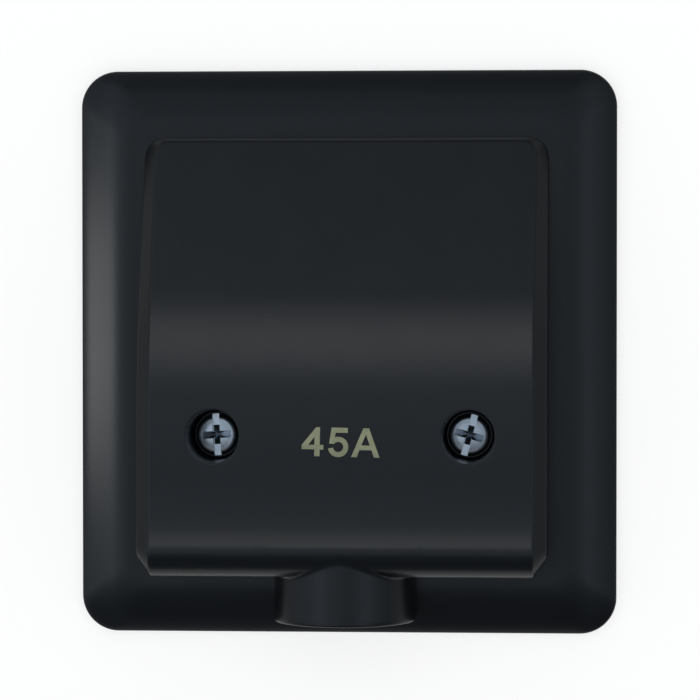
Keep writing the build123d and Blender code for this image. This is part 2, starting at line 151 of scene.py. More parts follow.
def mesh_from(name, patches):
    """One welded mesh from grids of points; a patch is a grid, or a grid with the quads it keeps."""
    points, quads, count = [], [], 0
    for patch in patches:
        grid, keep = patch if isinstance(patch, tuple) else (patch, None)
        rows, cols = grid.shape[:2]
        points.append(stand(grid).reshape(-1, 3))
        quads.append(grid_quads(rows, cols, count, keep))
        count += rows * cols
    mesh = bpy.data.meshes.new(name)
    mesh.from_pydata(np.concatenate(points).tolist(), [], np.concatenate(quads).tolist())
    with opened(mesh) as work:
        bmesh.ops.remove_doubles(work, verts=work.verts, dist=WELD)
        bmesh.ops.dissolve_degenerate(work, dist=WELD / 10, edges=work.edges)
        bmesh.ops.recalc_face_normals(work, faces=work.faces)
    return mesh


def piece(name, mesh, look, body, replaces=(), sharp=35.0, rounding=0.0):
    """An object at the origin with its finish, smooth but for edges sharper than an angle in degrees, which
    may be rounded. One that stands for nodes of the solid model hides them, and is shaded by its larger
    faces, so that flat faces stay flat beside rounded edges."""
    mesh.shade_smooth()
    mesh.set_sharp_from_angle(angle=radians(sharp))
    made = bpy.data.objects.new(name, mesh)
    bpy.context.scene.collection.objects.link(made)
    mesh.materials.append(FINISHES[look])
    if rounding:
        edge = made.modifiers.new("soft_edges", "BEVEL")
        edge.width, edge.segments, edge.limit_method, edge.angle_limit = rounding * MM, 2, "ANGLE", radians(35)
    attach(made, body)
    if replaces:
        made.modifiers.new("even_normals", "WEIGHTED_NORMAL").keep_sharp = True
        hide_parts(*replaces)


def box_patches(x_low, x_high, y_low, y_high, z_low, z_high):
    """The six sides of a block as grids of two by two points."""
    xs, ys, zs = (x_low, x_high), (y_low, y_high), (z_low, z_high)
    corner = np.array([[[(x, y, z) for z in zs] for y in ys] for x in xs])
    return [corner[0], corner[1], corner[:, 0], corner[:, 1], corner[:, :, 0], corner[:, :, 1]]


def ring(half_w, half_h, radius, middle, arc_steps=20, ease=0.25):
    """Closed rounded rectangle: four quarter circles of one radius joined by straight runs, each with a
    point a little way along the run before and after it."""
    turn = np.linspace(0, pi / 2, arc_steps + 1)
    loops = []
    for number, (sx, sy) in enumerate([(1, 1), (-1, 1), (-1, -1), (1, -1)]):
        first, last = number * pi / 2, (number + 1) * pi / 2
        arc = np.stack([sx * (half_w - radius) + radius * np.cos(turn + first),
                        sy * (half_h - radius) + radius * np.sin(turn + first)], axis=-1)
        lead = np.array([sin(first), -cos(first)])
        tail = np.array([-sin(last), cos(last)])
        loops += [arc[:1] + lead * ease, arc, arc[-1:] + tail * ease]
    loop = np.concatenate(loops)
    loop[:, 1] += middle
    return np.concatenate([loop, loop[:1]])


def plate_surface():
    """A section (inset, height) carried round a rounded rectangle. The border is an arc of radius
    (b * b + h * h) / 2h that rises h over its width b and ends level; the corner radius eases with it."""
    p = PLATE
    half_w, half_h, under = p["width"] / 2, p["height"] / 2, p["face"] - p["wall"]
    foot_soft, rim_soft, mouth_soft, mouth_mid = 0.15, 0.35, 0.25, 0.07
    arc_share, arc_rows, hollow_rows = 0.965, 22, 10

    def side(inset, z, skin=0.0):
        """Stop on the outside, or inside when a skin's thickness is given."""
        share = np.clip((inset - skin) / (p["border"] - skin), 0, 1)
        corner = p["corner"] - skin
        return half_w - inset, half_h - inset, corner + (LAND_CORNER - corner) * share, 0.0, z

    def mouth(grow, z):
        """Stop round the hood's opening."""
        half = OPENING["width"] / 2 + grow, OPENING["height"] / 2 + grow
        return *half, LAND_CORNER + grow, OPENING["middle"], z

    def border(radius, angle):
        """Inset and height on an arc about the border's centre, at an angle from its level end."""
        return p["border"] - radius * sin(angle), p["face"] - BORDER_R + radius * cos(angle)

    full = np.arcsin(p["border"] / BORDER_R)
    dome = [border(BORDER_R, a) for a in np.linspace(full * arc_share, 0, arc_rows)]
    lip = curl(np.array([0.0, p["rim"] - rim_soft]), np.array([0.0, p["rim"]]), np.array(dome[0]), SOFT_STEPS)
    hollow_r = BORDER_R - p["wall"]
    reach = np.arcsin((p["border"] - p["wall"]) / hollow_r)
    hollow = [border(hollow_r, a) for a in np.linspace(0, reach, hollow_rows)]
    stops = [side(foot_soft, 0.0), side(0.0, foot_soft)]
    stops += [side(*spot) for spot in [*lip[:-1], *dome]]
    stops += [mouth(mouth_soft, p["face"]), mouth(mouth_mid, p["face"] - mouth_mid),
              mouth(0.0, p["face"] - mouth_soft), mouth(0.0, under + foot_soft), mouth(foot_soft, under)]
    stops += [side(*spot, p["wall"]) for spot in [*hollow, (p["wall"], 0.0)]]
    loops = []
    for w, h, r, middle, z in stops + stops[:1]:
        loop = ring(w, h, r, middle)
        loops.append(np.column_stack([loop, np.full(len(loop), z)]))
    return [np.stack(loops)] + barb_patches(half_w - p["wall"], half_h - p["wall"])


def barb_patches(reach_x, reach_y):
    """Four blocks on the insides of the plate's walls that catch under the base's rim."""
    b = BARB
    half, depth = b["width"] / 2, b["gap"] + b["reach"]
    patches = []
    for reach, upright in ((reach_x, False), (reach_y, True)):
        for sign in (1, -1):
            ends = sorted((sign * (reach - depth), sign * (reach + PLATE["wall"] / 2)))
            spans = (-half, half, *ends) if upright else (*ends, -half, half)
            patches += box_patches(*spans, b["lift"], b["lift"] + b["height"])
    return patches


def plate_height(y):
    """Height of the front plate's face at a distance below its middle, on the centre line of the border."""
    past = np.clip(PLATE["border"] - (PLATE["height"] / 2 - np.abs(y)), 0, PLATE["border"])
    return PLATE["face"] - BORDER_R + np.sqrt(BORDER_R**2 - past**2)


def arc_at(before, corner, after, radius, count):
    """Arc tangent to both runs at a corner: its ends lie radius / tan(half the corner) along the runs."""
    u, v = unit(before - corner), unit(after - corner)
    half = np.arccos(np.clip(u @ v, -1, 1)) / 2
    centre = corner + unit(u + v) * radius / np.sin(half)
    first, last = corner + u * radius / np.tan(half) - centre, corner + v * radius / np.tan(half) - centre
    whole = pi - 2 * half
    t = np.linspace(0, 1, count)[:, None]
    return centre + (np.sin((1 - t) * whole) * first + np.sin(t * whole) * last) / np.sin(whole)


class Rail:
    """Side view of one long edge of the hood, as (y, z) along its length: slope, bend arc, front, roll arc
    and end wall. The front is a straight run less k (t^3 - t^4), which turns it up to the lip at the roll.
    Stage u runs 0 to 1 round the upper corner, 1 to 2 down the slope, then one unit for each other part."""

    def __init__(self, half, draft, front, low, top, corner, soft):
        self.half, self.draft, self.front = half, radians(draft), front
        self.top, self.corner, self.soft = top, corner, soft
        start, end, roll_r = top - corner, HOOD_LOW + low, ROLL_R - front
        bend = (self.slope_z(0) - self.lean_z(0)) / (tan(SLOPE) - tan(LEAN))
        corners = [np.array([y, z], float) for y, z in (
            (start, self.slope_z(start)), (bend, self.slope_z(bend)), (end, self.lean_z(end)))]
        bend_arc = arc_at(*corners, BEND_R - front, DENSE)
        centre = np.array([end + roll_r, self.lean_z(end) - roll_r / tan((pi / 2 - LEAN) / 2)])
        angle = np.linspace(LIP, -pi / 2, DENSE)
        roll_arc = centre + roll_r * np.stack([np.sin(angle), np.cos(angle)], axis=-1)
        t = np.linspace(0, 1, DENSE)
        (y0, z0), (y1, z1) = bend_arc[-1], roll_arc[0]
        lift = (y0 - y1) * (tan(LIP) - tan(LEAN))
        lean = np.stack([lerp(y0, y1, t), lerp(z0, z1, t) - lift * (t**3 - t**4)], axis=-1)
        foot = np.array([end, FOOT / cos(self.draft)])
        parts = [np.stack([corners[0], bend_arc[0]]), bend_arc, lean, roll_arc, np.stack([roll_arc[-1], foot])]
        self.points = np.concatenate([parts[0][:1]] + [part[1:] for part in parts])
        steps = np.linalg.norm(np.diff(self.points, axis=0), axis=1)
        self.along = np.concatenate([[0], np.cumsum(steps)])
        runs = [np.linalg.norm(np.diff(part, axis=0), axis=1).sum() for part in parts]
        self.marks = np.concatenate([[0], np.cumsum(runs)])

    def slope_z(self, y):
        """Height on the slope, before the draft."""
        return SHOULDER[1] + tan(SLOPE) * (SHOULDER[0] - y) - self.front / cos(SLOPE)

    def lean_z(self, y):
        """Height on the straight front, before the draft."""
        return HOOD_FRONT + tan(LEAN) * (HOOD_LOW + ROLL_R - y) - self.front / cos(LEAN)

    def shoulder_z(self, y):
        """Height on the slope in the drafted wall's own plane."""
        return self.slope_z(y) * cos(self.draft)

    def length(self, u):
        """Length along the edge at a stage from 1 to 6."""
        return np.interp(u, np.arange(1, 7), self.marks)

    def at(self, length):
        """(y, z) at a length along the edge, with z taken to the drafted wall's own plane."""
        y = np.interp(length, self.along, self.points[:, 0])
        z = np.interp(length, self.along, self.points[:, 1]) * cos(self.draft)
        return np.stack([y, z], axis=-1)

    def lean_stage(self, y):
        """Stage of a height y on the leaning front."""
        first, last = self.at(self.marks[2])[0], self.at(self.marks[3])[0]
        return 3 + (first - y) / (first - last)

    def point(self, u, lift=0.0):
        """The edge on the right-hand side; round the upper corner, a quarter circle, it eases up by a lift."""
        yz = self.at(self.length(np.maximum(u, 1)))
        turn = corner_turn(u)
        y = np.where(u < 1, self.top - self.corner + self.corner * np.sin(turn), yz[..., 0])
        z = np.where(u < 1, self.shoulder_z(y) + lift * smooth(turn / (pi / 2)), yz[..., 1])
        x = self.half - tan(self.draft) * z - self.corner * (1 - np.cos(turn))
        return np.stack([x, y, z], axis=-1)


def corner_turn(u):
    """Angle round the upper corner at a stage: a quarter turn at 0, none from 1 on."""
    return np.clip(1 - u, 0, 1) * pi / 2


def join_runs(*runs):
    """Runs of (first, last, steps) as one rising list without doubles."""
    parts = [np.linspace(a, b, n + 1)[(1 if i else 0):] for i, (a, b, n) in enumerate(runs)]
    return np.concatenate(parts)


class Skin:
    """One skin of the hood, outside or inside. Each patch is a grid of points:
    face: stage down the hood by place across, the side view drawn out along x;
    band: the bevel round the face between two edges, each edge a small parabola;
    wall: straight from the band to the foot;
    shoe: between the spout's arch, laid out on the face, and the face's grid."""

    def __init__(self, edge, face, drop, arch_r, arch_soft, arch_side, well_side):
        self.rail, self.arch_r, self.arch_soft = Rail(**face), arch_r, arch_soft
        well_high, well_low, shoe_top = (self.rail.lean_stage(y) for y in (
            WELL["y"] + well_side, WELL["y"] - well_side, SHOE_TOP))
        self.stages = join_runs(
            (0, 1, CORNER_STEPS), (1, 2, SLOPE_STEPS), (2, 3, BEND_STEPS), (3, well_high, 1),
            (well_high, well_low, WELL_STEPS), (well_low, shoe_top, SHOE_LEAD), (shoe_top, 4, 1),
            (4, 5, ROLL_STEPS), (5, 6, WALL_STEPS))
        self.wall_row = len(self.stages) - 1 - WALL_STEPS
        self.shoe_row = self.wall_row - ROLL_STEPS - 1
        self.make_band(Rail(**edge), drop)
        self.make_face(arch_side, well_side)
        self.make_shoe()

    def make_band(self, edge, drop):
        """The bevel between its two edges, whose soft edges reach into the wall and the face, and the wall."""
        u, turn = self.stages, corner_turn(self.stages)
        lift = self.rail.shoulder_z(self.rail.top) - drop - edge.shoulder_z(edge.top)
        low_edge, high_edge = edge.point(u, lift), self.rail.point(u)
        before, after = (edge.point(np.clip(u + step, 0, 6), lift) for step in (-NUDGE, NUDGE))
        outward = unit(np.stack([np.cos(turn), np.sin(turn), np.full_like(turn, tan(edge.draft))], axis=-1))
        down = unit(-np.cross(unit(after - before), outward))
        across = unit(high_edge - low_edge)
        climb = np.where(u < 1, tan(SLOPE) * np.sin(turn), 0.0)
        inward = unit(np.stack([-np.cos(turn), -np.sin(turn), climb], axis=-1))
        brim = low_edge + down * edge.soft
        self.border = high_edge + inward * self.rail.soft
        self.band = np.concatenate([
            curl(brim, low_edge, low_edge + across * edge.soft, SOFT_STEPS),
            curl(high_edge - across * self.rail.soft, high_edge, self.border, SOFT_STEPS)])
        upper = brim[: self.wall_row + 1]
        foot = upper.copy()
        foot[:, 0] += tan(edge.draft) * (upper[:, 2] - FOOT)
        foot[:, 2] = FOOT
        self.wall = lerp(upper[None], foot[None], np.linspace(0, 1, WALL_STEPS + 1)[:, None, None])

    def make_face(self, arch_side, well_side):
        """The face's grid: columns at fixed places past the wells, then spread to the border. Quads under
        the shoe and in the wells' squares are left out. The top's band and wall follow its first row."""
        rows, half_arch, aside = len(self.stages), ARCH_COLS // 2, 2
        fixed = join_runs((0, arch_side, half_arch), (arch_side, WELL["x"] - well_side, aside),
                          (WELL["x"] - well_side, WELL["x"] + well_side, WELL_STEPS),
                          (WELL["x"] + well_side, LAST_FIXED_X, 1))
        spread = lerp(LAST_FIXED_X, self.border[:, :1], np.linspace(0, 1, BORDER_COLS + 1)[1:])
        right = np.concatenate([np.broadcast_to(fixed, (rows, len(fixed))), spread], axis=1)
        xs = np.concatenate([-right[:, :0:-1], right], axis=1)
        yz = np.broadcast_to(self.border[:, None, 1:], (*xs.shape, 2))
        self.face = np.concatenate([xs[..., None], yz], axis=-1)

        middle, count = right.shape[1] - 1, WELL_STEPS
        self.arch_cols = slice(middle - half_arch, middle + half_arch + 1)
        self.keep = np.ones((rows - 1, xs.shape[1] - 1), bool)
        self.keep[self.shoe_row:, middle - half_arch: middle + half_arch] = False
        row, first = self.shoe_row - SHOE_LEAD - count, half_arch + aside
        for col in (middle + first, middle - first - count):
            self.keep[row: row + count, col: col + count] = False
        square = self.face[row: row + count + 1, middle + first: middle + first + count + 1]
        self.square = np.concatenate([square[0, :-1], square[:-1, -1], square[-1, :0:-1], square[::-1, 0]])

        share = np.stack([xs[0] / self.border[0, 0], *np.ones((2, xs.shape[1]))], axis=-1)
        self.top_band, self.top_wall = self.band[:, :1] * share, self.wall[:, :1] * share

    def face_at(self, x, length):
        """Point of the face at a place across and a length down it."""
        return np.concatenate([x[..., None], self.rail.at(length)], axis=-1)

    def front_z(self, y):
        """Height of the face on and below the bend at a height y."""
        low = self.face[self.stages > FRONT_STAGE, 0]
        return np.interp(-y, -low[:, 1], low[:, 2])

    def make_shoe(self):
        """Lays the arch out on the face, steps off it by its soft edge, and fills to the face's grid."""
        lengths = self.rail.length(np.maximum(self.stages[self.shoe_row:], 1))
        across = self.face[self.shoe_row, self.arch_cols, 0]
        rim_x = np.pad(across, len(lengths) - 1, mode="edge")
        rim_s = np.concatenate([lengths[:0:-1], np.full(len(across), lengths[0]), lengths[1:]])
        self.legs, self.turns = arch_spread(len(rim_x))
        x, z = self.arch_r * np.sin(self.turns), arch_height(self, self.arch_r, FOOT)
        dense = np.linspace(self.rail.marks[3] + 0.3, self.rail.marks[-1], 4 * DENSE)
        s = np.interp(-z, -self.rail.at(dense)[:, 1], dense)
        tangent = np.gradient(np.stack([x, s], axis=-1), axis=0)
        on_leg = self.legs > 0
        tangent[on_leg, 0], tangent[on_leg, 1] = 0.0, np.sign(self.turns[on_leg])
        out = unit(np.stack([tangent[:, 1], -tangent[:, 0]], axis=-1)) * self.arch_soft
        off_x, off_s = x + out[:, 0], s + out[:, 1]
        self.junction = self.face_at(x, s)
        self.arch_start = self.face_at(off_x, off_s)
        share = np.linspace(0, 1, SHOE_ROWS)[:, None] ** SHOE_EASE
        self.shoe = self.face_at(lerp(off_x, rim_x, share), lerp(off_s, rim_s, share))


def arch_spread(count):
    """Places round the arch from foot to foot, evenly spaced: share down a leg, and angle from the top."""
    leg, quarter = SPOUT["axis"] - FOOT, SPOUT["outer"] * pi / 2
    spots = np.linspace(-(leg + quarter), leg + quarter, count)
    past = np.clip(np.abs(spots) - quarter, 0, leg)
    return past / leg, np.sign(spots) * np.minimum(np.abs(spots), quarter) / SPOUT["outer"]


def arch_height(skin, radius, foot):
    """Height round the arch: a half circle on two legs that go down to a foot."""
    top = SPOUT["axis"] + radius * np.cos(skin.turns) * (skin.legs == 0)
    return top - skin.legs * (SPOUT["axis"] - foot)


def spout_at(skin, radius, y):
    """Points of the spout round its arch, whose legs end a small gap above the front plate."""
    gap = SPOUT["gap"] * np.clip((HOOD_LOW - y) / SPOUT["gap_run"], 0, 1)
    z = arch_height(skin, radius, plate_height(y) + gap)
    return np.stack(np.broadcast_arrays(radius * np.sin(skin.turns), y, z), axis=-1)


def spout_patches(outer, inner):
    """Outside of the spout from the hood to its rounded end, its bore from there back to the hollow, and
    the soft edges where both leave the hood's skins."""
    lip, share = SPOUT["lip"], np.linspace(0, 1, SPOUT_ROWS)
    r_out, r_in, end = outer.arch_r, inner.arch_r, SPOUT["end"]
    y_out = outer.junction[:, 1] - outer.arch_soft
    y_in = inner.junction[:, 1] - inner.arch_soft
    quarter = np.linspace(0, pi / 2, 5)
    lips = [(r_out - lip * (1 - cos(a)), end + lip * (1 - sin(a))) for a in quarter[1:]]
    lips += [(r_in + lip * (1 - sin(a)), end + lip * (1 - cos(a))) for a in quarter]
    rows = [spout_at(outer, r_out, lerp(y_out, end + lip, t)) for t in share]
    outside = np.stack(rows + [spout_at(outer, r, y) for r, y in lips])
    bore = np.stack([spout_at(outer, r_in, lerp(end + lip, y_in, t)) for t in share])
    leave = curl(outer.arch_start, outer.junction, outside[0], SOFT_STEPS)
    arrive = curl(bore[-1], inner.junction, inner.arch_start, SOFT_STEPS)
    return outside, bore, leave, arrive


def well_patches(outer, inner, side):
    """A screw well: the face's square closed to a circle, a rounded rim, a cone to the seat, the screw's
    hole, the underside and the tube's outside, all turned about the screw's line."""
    w = WELL
    low, floor, heel, hole, tube, chamfer = w["low"], w["floor"], w["heel"], w["hole"], w["tube"], w["chamfer"]
    tube_soft, tube_blend = 0.2, 0.25
    start = np.arctan2(outer.square[0, 1] - w["y"], outer.square[0, 0] - w["x"])
    turn = start - np.linspace(0, 2 * pi, len(outer.square))
    across, up = np.cos(turn), np.sin(turn)

    def circle(radius, z):
        """Circle about the screw's line at a height."""
        return np.stack(np.broadcast_arrays(w["x"] + radius * across, w["y"] + radius * up, z), axis=-1)

    def on_face(skin, radius):
        """Circle seen from the front that lies on a skin's face."""
        return circle(radius, skin.front_z(w["y"] + radius * up))

    def cone(z):
        """Radius of the well at a height."""
        return w["bottom"] + (w["mouth"] - w["bottom"]) * (z - floor) / (w["mouth_z"] - floor)

    def rows(first, last, steps):
        """Straight rows from one loop to another."""
        return lerp(first, last, np.linspace(0, 1, steps + 1)[:, None, None])

    mouth = cone(on_face(outer, w["mouth"])[:, 2])
    edge, corner = on_face(outer, mouth + w["rim"]), on_face(outer, mouth)
    below = circle(cone(corner[:, 2] - w["rim"]), corner[:, 2] - w["rim"])
    base, seat = circle(cone(floor + heel), floor + heel), circle(cone(floor) - heel, floor)
    hole_top, hole_low = circle(hole + chamfer, floor), circle(hole + chamfer, low)
    inner_edge, inner_corner = on_face(inner, tube + tube_blend), on_face(inner, tube)
    tube_low, tube_top = circle(tube, low + tube_soft), circle(tube, inner_corner[:, 2] - tube_blend)
    patches = [
        rows(edge, outer.square, 6), curl(edge, corner, below, SOFT_STEPS), rows(below, base, 4),
        curl(base, circle(cone(floor), floor), seat, 3), np.stack([seat, hole_top]),
        np.stack([hole_top, circle(hole, floor - chamfer), circle(hole, low + chamfer), hole_low]),
        np.stack([hole_low, circle(tube - tube_soft, low), tube_low]), np.stack([tube_low, tube_top]),
        curl(tube_top, inner_corner, inner_edge, 3), rows(inner_edge, inner.square, 2)]
    return [patch * np.array([side, 1, 1]) for patch in patches]


def hood_surface():
    """Both skins of the hood, joined at the foot, through the spout and through the two screw wells."""
    outer, inner = Skin(**OUTER_SKIN), Skin(**INNER_SKIN)
    mirror = np.array([-1, 1, 1])
    patches = []
    for skin in (outer, inner):
        patches += [(skin.face, skin.keep), skin.shoe, skin.top_band, skin.top_wall]
        for turn in (1, mirror):
            patches += [skin.band * turn, skin.wall * turn]
    outside, bore, leave, arrive = spout_patches(outer, inner)
    patches += [outside, bore, leave, arrive]
    patches.append(np.stack([outer.top_wall[-1], inner.top_wall[-1]]))
    for turn in (1, mirror):
        patches.append(np.stack([outer.wall[-1], inner.wall[-1]]) * turn)
        patches.append(np.stack([outer.band[:, -1], inner.band[:, -1]]) * turn)
    for beside in (slice(outer.arch_cols.start + 1), slice(outer.arch_cols.stop - 1, None)):
        patches.append(np.stack([outer.face[-1, beside], inner.face[-1, beside]]))
    for end in (0, -1):
        out_line, in_line = outside[:, end], bore[::-1, end]
        rest = out_line[len(in_line) - 1:]
        patches += [np.stack([outer.shoe[:, end], inner.shoe[:, end]]),
                    np.stack([leave[:, end], arrive[::-1, end]]),
                    np.stack([out_line[: len(in_line)], in_line]),
                    np.stack([rest, np.broadcast_to(in_line[-1], rest.shape)])]
    for side in (1, -1):
        patches += well_patches(outer, inner, side)
    return patches, outer


class Tree:
    """A cleared tree of shader nodes. A node's inputs are given by name or number, as values or as the
    outputs or nodes that feed them."""

    def __init__(self, owner):
        owner.use_nodes = True
        self.nodes, self.links = owner.node_tree.nodes, owner.node_tree.links
        self.nodes.clear()

    def add(self, kind, inputs=None, **settings):
        """A node with its settings and inputs."""
        made = self.nodes.new("ShaderNode" + kind)
        for name, value in settings.items():
            setattr(made, name, value)
        for name, value in (inputs or {}).items():
            if isinstance(value, bpy.types.Node):
                value = value.outputs[0]
            if isinstance(value, bpy.types.NodeSocket):
                self.links.new(value, made.inputs[name])
            else:
                made.inputs[name].default_value = value
        return made

    def math(self, operation, *values):
        """One step of arithmetic between outputs or numbers."""
        return self.add("Math", dict(enumerate(values)), operation=operation).outputs[0]

    def mix(self, share, first, second):
        """The first shader at a share of 0 and the second at 1."""
        return self.add("MixShader", {"Fac": share, 1: first, 2: second})

    def ramp(self, value, stops, easing="LINEAR"):
        """Colour by a value from 0 to 1, between stops of a place and a colour."""
        made = self.add("ValToRGB", {"Fac": value})
        made.color_ramp.interpolation = easing
        spots = made.color_ramp.elements
        while len(spots) < len(stops):
            spots.new(0.5)
        for spot, (place, colour) in zip(spots, stops):
            spot.position, spot.color = place, (*colour, 1)
        return made.outputs["Color"]

    def noise(self, place, scale, detail):
        """Soft noise from 0 to 1."""
        return self.add("TexNoise", {"Vector": place, "Scale": scale, "Detail": detail}).outputs["Fac"]

    def axes(self, kind):
        """The three parts of a texture place or direction."""
        place = self.add("TexCoord").outputs[kind]
        return self.add("SeparateXYZ", {0: place}).outputs

    def mirrored(self):
        """1 for rays that glossy or clear surfaces send on, else 0."""
        ray = self.add("LightPath").outputs
        return self.math("MAXIMUM", ray["Is Glossy Ray"], ray["Is Transmission Ray"])

    def camera(self):
        """1 for rays from the camera, else 0."""
        return self.add("LightPath").outputs["Is Camera Ray"]


IOR, MOTTLE_ENDS, MOTTLE_DETAIL, RELIEF_DETAIL, RELIEF_HEIGHT = 1.46, (0.3, 0.7), 3.0, 2.0, 0.0001


def finish(name, colours, grain, rough, metallic=0.0, bump=0.0, bump_scale=900.0, spread=0.03):
    """Colour eases between two near tones with soft noise of the given grain, and so does the roughness."""
    made = bpy.data.materials.new(name)
    tree = Tree(made)
    place = tree.add("TexCoord").outputs["Object"]
    mottle = tree.noise(place, grain, MOTTLE_DETAIL)
    roughness = tree.add("MapRange", {"Value": mottle, "To Min": rough - spread, "To Max": rough + spread})
    skin = tree.add("BsdfPrincipled", {
        "Metallic": metallic, "IOR": IOR, "Base Color": tree.ramp(mottle, list(zip(MOTTLE_ENDS, colours))),
        "Roughness": roughness})
    if bump:
        fine = tree.noise(place, bump_scale, RELIEF_DETAIL)
        relief = tree.add("Bump", {"Strength": bump, "Distance": RELIEF_HEIGHT, "Height": fine})
        tree.links.new(relief.outputs["Normal"], skin.inputs["Normal"])
    tree.add("OutputMaterial", {"Surface": skin})
    return made


FINISHES = {
    "black_gloss": finish("black_gloss", ((0.0018, 0.0026, 0.0040), (0.0022, 0.0032, 0.0048)), 140, 0.28,
                          bump=0.03, bump_scale=1500),
    "black_matt": finish("black_matt", ((0.010, 0.011, 0.012), (0.016, 0.017, 0.018)), 160, 0.52, bump=0.15),
    "white_thermoset": finish("white_thermoset", ((0.72, 0.71, 0.67), (0.80, 0.79, 0.75)), 120, 0.38,
                              bump=0.04),
    "brass": finish("brass", ((0.62, 0.43, 0.17), (0.74, 0.54, 0.24)), 260, 0.28, metallic=1.0, bump=0.05),
    "plated_steel": finish("plated_steel", ((0.50, 0.54, 0.59), (0.66, 0.70, 0.76)), 420, 0.22, metallic=1.0,
                           bump=0.12, spread=0.06),
    "print_ink": finish("print_ink", ((0.196, 0.214, 0.132), (0.258, 0.276, 0.176)), 500, 0.5)}


def turned(rows, pitch, columns=48, ribs=0):
    """A profile of (radius, height, thread depth, rib depth) turned about its line. The thread's phase is
    height / pitch less the share of a turn, so its crest climbs one pitch each turn; it rises by
    1.35 |2 phase - 1| - 0.15, cut off at 0 and 1. A rib is |sin|."""
    radius, height, thread, rib = (np.array(column)[:, None] for column in zip(*rows))
    angle = np.linspace(0, 2 * pi, columns + 1)[None, :]
    phase = (height / pitch - angle / (2 * pi)) % 1.0
    crest = np.clip(np.abs(2 * phase - 1) * 1.35 - 0.15, 0, 1)
    reach = radius - thread * (1 - crest) - rib * np.abs(np.sin(ribs * angle / 2))
    return np.stack([reach * np.cos(angle), reach * np.sin(angle), height + 0 * angle], axis=-1)


def placed(patch, x, y, z, turn=0.0):
    """A patch turned about its own line by an angle in degrees, then moved."""
    a = radians(turn)
    across = patch[..., 0] * cos(a) - patch[..., 1] * sin(a)
    up = patch[..., 0] * sin(a) + patch[..., 1] * cos(a)
    return np.stack([across + x, up + y, patch[..., 2] + z], axis=-1)


def cut(mesh, cutters):
    """The mesh with each cutter's volume taken away, as one finished mesh."""
    body, *tools = (bpy.data.objects.new(part.name, part) for part in (mesh, *cutters))
    for part in (body, *tools):
        bpy.context.scene.collection.objects.link(part)
    for tool in tools:
        away = body.modifiers.new(tool.name, "BOOLEAN")
        away.operation, away.solver, away.object = "DIFFERENCE", "EXACT", tool
    made = bpy.data.meshes.new_from_object(body.evaluated_get(bpy.context.evaluated_depsgraph_get()))
    for used in (body, *tools):
        bpy.data.objects.remove(used)
    return made


def cross_patch(reach, half, depth):
    """Tapered cross about its own middle: twelve corners over the crown, drawn in down to a point."""
    def outline(reach, half, z):
        """Corners of a cross by its arms' reach and half their width."""
        r, h = reach, half
        loop = np.array([(h, h), (h, r), (-h, r), (-h, h), (-r, h), (-r, -h), (-h, -h), (-h, -r), (h, -r),
                         (h, -h), (r, -h), (r, h), (h, h)])
        return np.column_stack([loop, np.full(len(loop), z)])
    over = outline(reach * 1.04, half * 1.06, 0.3)
    low = outline(reach * 0.55, half * 0.75, -depth * 0.65)
    rim, mouth = outline(reach, half, 0.0), outline(reach * 0.95, half * 0.94, -0.3)
    return np.stack([over * [0, 0, 1], over, rim, mouth, low, np.broadcast_to([0, 0, -depth], low.shape)])


def pan_screw(node, kind, body, x, y, seat, turn):
    """Pan head with a domed crown and a rounded rim, a threaded shank, and a slot with a cross recess. The
    crown falls with the square of the radius, and the thread is 0.13 pitch + 0.12 deep."""
    head_r, head_h, shank_r, length, pitch = SCREWS[kind]
    soft, crown_drop, under = HEAD["soft"], HEAD["crown"], HEAD["under"]
    neck, tip = SHANK["neck"], SHANK["tip"]
    crown = [((head_r - soft) * share, head_h - crown_drop * share**2) for share in np.linspace(0, 0.9, 7)]
    rim = [(head_r - soft * (1 - cos(a)), head_h - soft * (1 - sin(a)) * HEAD["squash"] - crown_drop)
           for a in np.linspace(pi / 2, 0, 9)]
    foot = [(head_r, under), (head_r - under, 0.0), (shank_r, 0.0)]
    end = [(shank_r - SHANK["taper"], -length), (0.0, -length)]
    depth = 0.13 * pitch + 0.12
    threaded = [(shank_r, -neck + (tip - length + neck) * share, depth * min(1, share * SHANK["run_in"]), 0)
                for share in np.linspace(0, 1, int(length / pitch * SHANK["rows"]))]
    head, end = ([(*spot, 0, 0) for spot in spots] for spots in (crown + rim + foot, end))
    name, crown_place = node + "_head", (x, y, seat + head_h, turn)
    whole = mesh_from(name, [placed(turned(head + threaded + end, pitch), x, y, seat)])
    slot = box_patches(-SLOT["half"], SLOT["half"], -head_r - SLOT["over"], head_r + SLOT["over"],
                       -SLOT["depth"], SLOT["over"])
    cross = cross_patch(min(CROSS["reach"], head_r * CROSS["share"]), CROSS["half"], CROSS["depth"])
    made = cut(whole, [mesh_from(name + "_slot", [placed(patch, *crown_place) for patch in slot]),
                       mesh_from(name + "_cross", [placed(cross, *crown_place)])])
    piece(name, made, "plated_steel", body, [node], sharp=28)


def brass_insert(node, x, y, shank_r, top, length):
    """Knurled sleeve with a plain groove round its middle and a plain bore, which the screw fills."""
    knurl, groove, soft = INSERT["knurl"], INSERT["groove"], INSERT["soft"]
    bore, out, middle = shank_r + INSERT["play"], shank_r + INSERT["wall"], length / 2
    rows = [(bore, 0.0, 0), (out - soft, 0.0, 0), (out - 0.02, -soft, 0), (out, -soft - 0.01, knurl),
            (out, -middle + groove + 0.02, knurl), (out - groove, -middle + groove, 0)]
    rows += [(r, -length - z, k) for r, z, k in rows[::-1]]
    rows = [(r, z, 0, k) for r, z, k in rows + rows[:1]]
    mesh = mesh_from(node + "_sleeve", [
        placed(turned(rows, INSERT["pitch"], columns=96, ribs=INSERT["ribs"]), x, y, top)])
    piece(node + "_sleeve", mesh, "brass", "root", [node], sharp=28)


